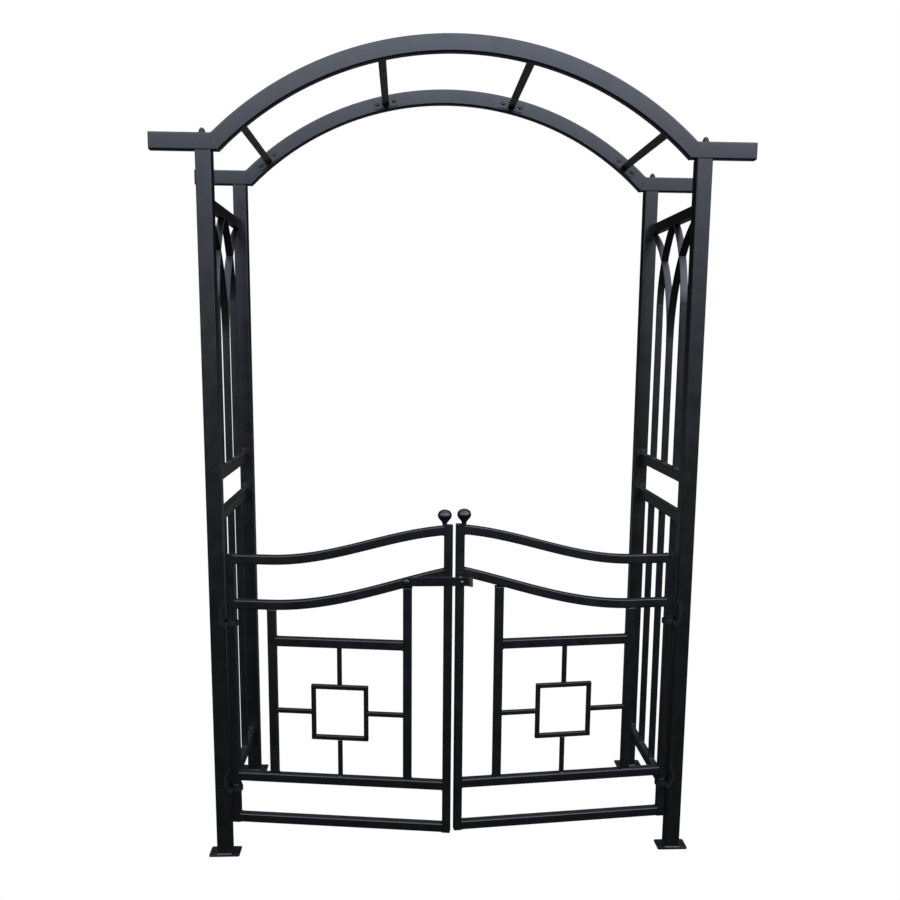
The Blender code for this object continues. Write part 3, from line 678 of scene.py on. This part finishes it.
def build_trellis(level, side_name, side):
    """Two rails and three bars; the upper panel's bars fork into pointed arches."""
    low_z, high_z = RAILS[level]
    x = side * TRELLIS_X
    front = FRONT_Y + POST / 2 + GAP
    back = BACK_Y - POST / 2 - GAP
    middle = (front + back) / 2
    bm = bmesh.new()
    welds = bmesh.new()
    screws = bmesh.new()
    width, thick, height = END_PLATE
    for z in (low_z, high_z):
        straight_tube(bm, (x, front + 0.001, z), (x, back - 0.001, z), ACROSS,
                      TRELLIS_T, RAIL_H, TRELLIS_WALL, RAIL_ROUND)
        for y, way in ((front + thick / 2, 1), (back - thick / 2, -1)):
            plate(bm, Matrix.Translation((x, y, z)), width, height, thick, END_PLATE_ROUND)
            face = Vector((x, y + way * thick / 2, z))
            weld(welds, face + DEPTH * (way * 0.0005), ACROSS, UP,
                 TRELLIS_T / 2 - INSET, RAIL_H / 2, TRELLIS_BEAD)
            for shift in (-END_SCREW, END_SCREW):
                screw(screws, face + UP * shift, DEPTH * way, END_SCREW_SIZE)
    forked = level == "upper"
    above = low_z + RAIL_H / 2
    under = high_z - RAIL_H / 2

    def bar_weld(y, z):
        weld(welds, Vector((x, y, z)), ACROSS, DEPTH, TRELLIS_T / 2 - 0.001, BAR_W / 2, TRELLIS_BEAD)

    for place in (-1, 0, 1):
        y = middle + place * BAR_PITCH
        bar_top = under + INSET
        if forked:
            bar_top = OUTER_ARC[0] + OUTER_BAR_PAST if place else INNER_ARC[0] + INNER_BAR_PAST
        straight_bar(bm, (x, y, above - INSET), (x, y, bar_top), ACROSS,
                     TRELLIS_T - 2 * GAP, BAR_W, BAR_ROUND)
        bar_weld(y, above)
        if not forked:
            bar_weld(y, under)
        elif place:
            tracery(bm, x, y, -place, OUTER_ARC, under + INSET)
        else:
            for way in (-1, 1):
                tracery(bm, x, y + way * STRIP_SPREAD, way, INNER_ARC, under + INSET)
    name = level + "_" + side_name
    piece("panel_" + name, bm, "frame", "trellis_coat", ["trellis_" + name])
    piece("panel_welds_" + name, welds, "frame", "trellis_coat")
    piece("panel_screws_" + name, screws, "frame", "fitting_coat")


# Gate leaves, built in the leaf's own frame: run is +1 for the left leaf and -1 for the right

def curve_height(curve, s):
    """Height of an S-curved rail at s along the leaf."""
    start_z, rise, start, end = curve
    u = min(max((s - start) / (end - start), 0), 1)
    return start_z + rise * (1 - math.cos(math.pi * u)) / 2


def curved_rail(bm, curve, first, last, run):
    """S-curved tube whose ends are cut upright, against the stiles."""
    near = 0.0005
    stations = []
    for i in range(CURVE_STEPS + 1):
        s = first + (last - first) * i / CURVE_STEPS
        slope = (curve_height(curve, s + near) - curve_height(curve, s - near)) / (2 * near)
        rise = Vector((-run * slope, 0, 1)).normalized()
        if i in (0, CURVE_STEPS):
            rise = UP * math.sqrt(1 + slope * slope)
        stations.append((Vector((run * s, 0, curve_height(curve, s))), DEPTH, rise))
    tube(bm, stations, TUBE, RAIL_TUBE, TUBE_WALL, TUBE_ROUND)


def build_leaf(side_name, side):
    """One gate leaf with its collar, plugs, ornament, finial and welds."""
    run = -side
    body = side_name + "_gate"
    place = Matrix.Translation((side * HINGE_X, FRONT_Y, 0))
    place = place @ Matrix.Rotation(side * AJAR[side_name], 4, "Z")
    edge = TUBE / 2 + GAP
    half = TUBE / 2 - INSET
    welds = bmesh.new()
    plugs = bmesh.new()

    def finish(name, bm, slot="gate_coat"):
        bmesh.ops.transform(bm, matrix=place, verts=bm.verts)
        node = side_name + "_" + name
        piece("part_" + node, bm, body, slot, [node] if node in frame["nodes"] else ())

    def upright(s, low, high):
        bm = bmesh.new()
        straight_tube(bm, (run * s, 0, low), (run * s, 0, high), ACROSS,
                      TUBE, TUBE, TUBE_WALL, TUBE_ROUND)
        return bm

    def rail_weld(s, z):
        weld(welds, Vector((run * s, 0, z)), DEPTH, UP, half, RAIL_TUBE / 2)

    def plug(s, z, way):
        """Push-in plug that closes the end of a stile."""
        inside, flange = TUBE - 2 * TUBE_WALL - 0.0004, TUBE - 0.0002
        steps = [(inside, 0.0016, -0.008), (inside, 0.0016, 0.0),
                 (flange, TUBE_ROUND, 0.0001), (flange, TUBE_ROUND, 0.0008),
                 (TUBE - 0.0014, TUBE_ROUND, 0.0013), (0.008, 0.002, 0.0015)]
        rings = []
        for width, radius, out in steps:
            station = (Vector((run * s, 0, z + way * out)), ACROSS, DEPTH)
            rings.append(ring_at(plugs, rounded(width, width, radius), station))
        stitch(plugs, rings)
        end_faces(plugs, rings)

    bm = upright(0, STILE_FOOT, HINGE_STILE_TOP)
    collar = [(0.0132, 0.0004), (0.0145, 0.0), (COLLAR_R, 0.0005),
              (COLLAR_R, COLLAR_H - 0.0008), (0.0141, COLLAR_H), (0.0128, COLLAR_H + 0.0004)]
    lathe(bm, collar, Matrix.Translation((0, 0, COLLAR_Z)), 40)
    finish("hinge_stile", bm)
    finish("meeting_stile", upright(MEET, STILE_FOOT, MEET_STILE_TOP))
    plug(0, HINGE_STILE_TOP, 1)
    plug(0, STILE_FOOT, -1)
    plug(MEET, STILE_FOOT, -1)

    for name, curve in (("top_rail", TOP_CURVE), ("second_rail", SECOND_CURVE)):
        bm = bmesh.new()
        curved_rail(bm, curve, edge, MEET - edge, run)
        finish(name, bm)
        for s in (edge, MEET - edge):
            rail_weld(s, curve_height(curve, s))

    levels = (("bottom_rail", BOTTOM_RAIL_Z, edge, MEET - edge),
              ("panel_rail", PANEL_RAIL_Z, edge, MEET - edge),
              ("panel_top_bar", PANEL_TOP_Z, OUTER_BAR + edge, INNER_BAR - edge))
    for name, z, first, last in levels:
        bm = bmesh.new()
        straight_tube(bm, (run * first, 0, z), (run * last, 0, z), DEPTH,
                      TUBE, RAIL_TUBE, TUBE_WALL, TUBE_ROUND)
        finish(name, bm)
        for s in (first, last):
            rail_weld(s, z)

    for name, s in (("outer_bar", OUTER_BAR), ("inner_bar", INNER_BAR)):
        low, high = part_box(side_name + "_" + name)
        finish(name, upright(s, low.z, high.z))
        for z in (low.z, high.z):
            weld(welds, Vector((run * s, 0, z)), ACROSS, DEPTH, TUBE / 2, half)

    build_ornament(run, finish, welds)
    bm = bmesh.new()
    base = MEET_STILE_TOP + GAP
    flat = Matrix.Translation((run * MEET, 0, base + FINIAL_PLATE / 2))
    flat = flat @ Matrix.Rotation(math.pi / 2, 4, "X")
    plate(bm, flat, TUBE, TUBE, FINIAL_PLATE, 0.0026)
    profile = [(FINIAL_PROFILE[0][0], base + 0.0018 - FINIAL_Z)] + FINIAL_PROFILE[1:]
    lathe(bm, profile, Matrix.Translation((run * (MEET - FINIAL_OFF), 0, FINIAL_Z)), 48)
    finish("finial", bm)
    finish("welds", welds)
    finish("plugs", plugs, "cap_plastic")


def build_ornament(run, finish, welds):
    """Open square held by four short bars."""
    bm = bmesh.new()
    s, z, ring, size = run * ORNAMENT_S, ORNAMENT_Z, ORNAMENT_HALF, ORNAMENT_BAR
    half = size / 2
    sides = {-run: OUTER_BAR + TUBE / 2 + GAP, run: INNER_BAR - TUBE / 2 - GAP}
    ends = {-1: PANEL_RAIL_Z + RAIL_TUBE / 2 + GAP, 1: PANEL_TOP_Z - RAIL_TUBE / 2 - GAP}

    def level_bar(first, last, height):
        straight_bar(bm, (first, 0, height), (last, 0, height), DEPTH, size, size, ORNAMENT_ROUND)

    def upright_bar(x, low, high):
        straight_bar(bm, (x, 0, low), (x, 0, high), ACROSS, size, size, ORNAMENT_ROUND)

    def end_weld(x, height, bead):
        weld(welds, Vector((x, 0, height)), DEPTH, UP, half, half, bead)

    def flat_weld(x, height, bead):
        weld(welds, Vector((x, 0, height)), ACROSS, DEPTH, half, half, bead)

    for way in (-1, 1):
        middle = way * (ring - half)
        root = way * (ring - ORNAMENT_BITE)
        level_bar(s - ring, s + ring, z + middle)
        upright_bar(s + middle, z - ring + half, z + ring - half)
        level_bar(s + root, run * sides[way], z)
        upright_bar(s, z + root, ends[way])
        end_weld(s + way * ring, z, SQUARE_BEAD)
        flat_weld(s, z + way * ring, SQUARE_BEAD)
        end_weld(run * sides[way], z, ORNAMENT_BEAD)
        flat_weld(s, ends[way], ORNAMENT_BEAD)
    finish("ornament", bm)


def build_fittings():
    """Latch pivot and keeper stud, each a turned piece on the front of its leaf."""
    left = Matrix.Translation((-HINGE_X, FRONT_Y, 0)) @ Matrix.Rotation(-AJAR["left"], 4, "Z")
    right = Matrix.Translation((HINGE_X, FRONT_Y, 0)) @ Matrix.Rotation(AJAR["right"], 4, "Z")
    to_front = Matrix.Rotation(math.pi / 2, 4, "X")
    front = -TUBE / 2 - GAP
    seat = LATCH_OUT + LATCH_T + 0.0004 - TUBE / 2 - GAP
    head = seat + GAP
    bm = bmesh.new()
    profile = [(0.0047, 0.0), (0.0047, seat), (0.0088, seat), (0.0088, head + 0.0012),
               (0.0084, head + 0.0020), (0.0074, head + 0.0034), (0.0060, head + 0.0043),
               (0.0042, head + 0.0048), (0.0034, head + 0.0047, 6), (0.0032, head + 0.0024, 6),
               (0.0008, head + 0.0023)]
    lathe(bm, profile, left @ Matrix.Translation((LATCH_PIVOT, front, LATCH_Z)) @ to_front, 36)
    piece("turned_latch_pivot", bm, "left_gate", "fitting_coat", ["latch_pivot"], 30)
    bm = bmesh.new()
    profile = [(0.0080, 0.0), (0.0080, 0.0018), (0.0075, 0.0024), (0.0066, 0.0030),
               (STUD_R + 0.0004, 0.0031), (STUD_R, 0.0036), (STUD_R, STUD_LEN - 0.0012),
               (STUD_R - 0.0005, STUD_LEN - 0.0004), (STUD_R - 0.0012, STUD_LEN)]
    lathe(bm, profile, right @ Matrix.Translation((-MEET, front, STUD_Z)) @ to_front, 36)
    piece("turned_latch_keeper", bm, "right_gate", "zinc_steel", ["latch_keeper"], 30)


EASE = 0.0005
HINGE_EASE = 0.0013
WELD_DISTANCE = 0.00001


def ease_cad_nodes():
    """Paint the CAD nodes; those that stay in view, the feet, hinges and arm, get eased edges."""
    for name, obj in frame["nodes"].items():
        slot = "frame_coat"
        if name.startswith("latch"):
            slot = "latch_coat" if name == "latch_arm" else "fitting_coat"
        elif name.startswith("hinge"):
            slot = "hinge_coat"
        for holder in obj.material_slots:
            holder.material = FINISH[slot]
        if obj.hide_render:
            continue
        join = obj.modifiers.new("join", "WELD")
        join.merge_threshold = WELD_DISTANCE
        ease = obj.modifiers.new("ease", "BEVEL")
        ease.width = HINGE_EASE if slot == "hinge_coat" else EASE
        ease.segments = 3
        ease.limit_method = "ANGLE"
        ease.angle_limit = math.radians(40)
        even = obj.modifiers.new("flat_faces", "WEIGHTED_NORMAL")
        even.keep_sharp = True


# Studio

FRONT_SKY = [                # sine of the height above the horizon, brightness
    (-0.45, 0.009), (-0.12, 0.011), (0.0, 0.017), (0.08, 0.066), (0.15, 0.21),
    (0.22, 0.40), (0.30, 0.94), (0.45, 1.0), (0.70, 0.46)]
BACK_SKY = [
    (-0.44, 0.006), (-0.36, 0.012), (-0.27, 0.032), (-0.18, 0.034), (-0.06, 0.018),
    (0.03, 0.006), (0.12, 0.002), (0.22, 0.010), (0.40, 0.022), (0.66, 0.06), (0.90, 0.34)]
SKY_STRENGTH = 3.0
LOWEST, HIGHEST = -0.5, 1.0
SEAM = 0.30                  # front and back skies blend over this much on each side of the middle
LEAN = (-0.3, 0.4, 0.83, 1.08)           # X from and to, strength there: brighter on the right
RED_LESS, GREEN_LESS, BLUE_MORE = 0.16, 0.05, 0.16   # tint of the sky where it is bright
FLOOR_REACH = 30.0
CAMERA_AT = (-0.1291, -2.7024, 1.4026)
YAW, PITCH, ROLL = 0.0476, -0.1588, 0.0085   # radians: to the right, upwards, right side raised
SENSOR = 36                  # mm
LENS = 38.1224               # mm
SHIFT = (0.000478, 0.050844)             # of the sensor's width: the object stands a little low


def world():
    """White for the camera; for reflections, a bright upper front, a darker back and a dim ground."""
    studio = bpy.data.worlds.new("studio")
    bpy.context.scene.world = studio
    studio.use_nodes = True
    tree = studio.node_tree
    tree.nodes.clear()
    link = tree.links.new

    def add(kind):
        return tree.nodes.new(kind)

    coords = add("ShaderNodeTexCoord")
    axes = add("ShaderNodeSeparateXYZ")
    link(coords.outputs["Generated"], axes.inputs[0])
    height = remap(tree, add, axes.outputs["Z"], LOWEST, HIGHEST, 0.0, 1.0)
    skies = []
    for stops in (FRONT_SKY, BACK_SKY):
        ramp = add("ShaderNodeValToRGB")
        points = ramp.color_ramp.elements
        while len(points) < len(stops):
            points.new(0.5)
        for point, (z, value) in zip(points, stops):
            point.position = (z - LOWEST) / (HIGHEST - LOWEST)
            tint = min(1.0, value * 4)
            point.color = (value * (1 - RED_LESS * tint), value * (1 - GREEN_LESS * tint),
                           value * (1 + BLUE_MORE * tint), 1)
        link(height, ramp.inputs["Fac"])
        light = add("ShaderNodeBackground")
        link(ramp.outputs["Color"], light.inputs["Color"])
        skies.append(light)
    behind = add("ShaderNodeMapRange")
    behind.interpolation_type = "SMOOTHSTEP"
    behind.inputs["From Min"].default_value = -SEAM
    behind.inputs["From Max"].default_value = SEAM
    link(axes.outputs["Y"], behind.inputs["Value"])
    around = add("ShaderNodeMixShader")
    link(behind.outputs["Result"], around.inputs["Fac"])
    link(skies[0].outputs[0], around.inputs[1])
    link(skies[1].outputs[0], around.inputs[2])
    lean = remap(tree, add, axes.outputs["X"], *LEAN)
    level = add("ShaderNodeMath")
    level.operation = "MULTIPLY"
    level.inputs[1].default_value = SKY_STRENGTH
    link(lean, level.inputs[0])
    for light in skies:
        link(level.outputs[0], light.inputs["Strength"])
    seen = add("ShaderNodeBackground")
    seen.inputs["Color"].default_value = (1, 1, 1, 1)
    path = add("ShaderNodeLightPath")
    mix = add("ShaderNodeMixShader")
    out = add("ShaderNodeOutputWorld")
    link(path.outputs["Is Camera Ray"], mix.inputs["Fac"])
    link(around.outputs[0], mix.inputs[1])
    link(seen.outputs[0], mix.inputs[2])
    link(mix.outputs[0], out.inputs["Surface"])


def floor():
    """White sweep seen by the camera only; the low part of the sky stands for the ground's light."""
    mesh = bpy.data.meshes.new("floor")
    reach = FLOOR_REACH
    corners = [(-reach, -reach, 0), (reach, -reach, 0), (reach, reach, 0), (-reach, reach, 0)]
    mesh.from_pydata(corners, [], [(0, 1, 2, 3)])
    obj = bpy.data.objects.new("floor", mesh)
    bpy.context.scene.collection.objects.link(obj)
    mat = bpy.data.materials.new("floor")
    mat.use_nodes = True
    tree = mat.node_tree
    tree.nodes.clear()
    out = tree.nodes.new("ShaderNodeOutputMaterial")
    mix = tree.nodes.new("ShaderNodeMixShader")
    path = tree.nodes.new("ShaderNodeLightPath")
    white = tree.nodes.new("ShaderNodeEmission")
    white.inputs["Color"].default_value = (1, 1, 1, 1)
    clear = tree.nodes.new("ShaderNodeBsdfTransparent")
    tree.links.new(path.outputs["Is Camera Ray"], mix.inputs["Fac"])
    tree.links.new(clear.outputs[0], mix.inputs[1])
    tree.links.new(white.outputs[0], mix.inputs[2])
    tree.links.new(mix.outputs[0], out.inputs["Surface"])
    mesh.materials.append(mat)


def camera():
    """Camera at the object's front, a little above the gates, looking slightly down and right."""
    lens = bpy.data.cameras.new("camera")
    obj = bpy.data.objects.new("camera", lens)
    bpy.context.scene.collection.objects.link(obj)
    flat = math.cos(PITCH)
    ahead = Vector((math.sin(YAW) * flat, math.cos(YAW) * flat, math.sin(PITCH)))
    level = Vector((math.cos(YAW), -math.sin(YAW), 0))
    above = level.cross(ahead)
    right = level * math.cos(ROLL) + above * math.sin(ROLL)
    top = above * math.cos(ROLL) - level * math.sin(ROLL)
    turn = Matrix((right, top, -ahead)).transposed().to_4x4()
    obj.matrix_world = Matrix.Translation(CAMERA_AT) @ turn
    lens.sensor_width = SENSOR
    lens.lens = LENS
    lens.shift_x, lens.shift_y = SHIFT
    bpy.context.scene.camera = obj


build_frame()
for side_name, side in (("left", -1), ("right", 1)):
    for level in RAILS:
        build_trellis(level, side_name, side)
    build_leaf(side_name, side)
build_fittings()
ease_cad_nodes()
world()
floor()
camera()
bpy.context.scene.view_settings.view_transform = "Standard"
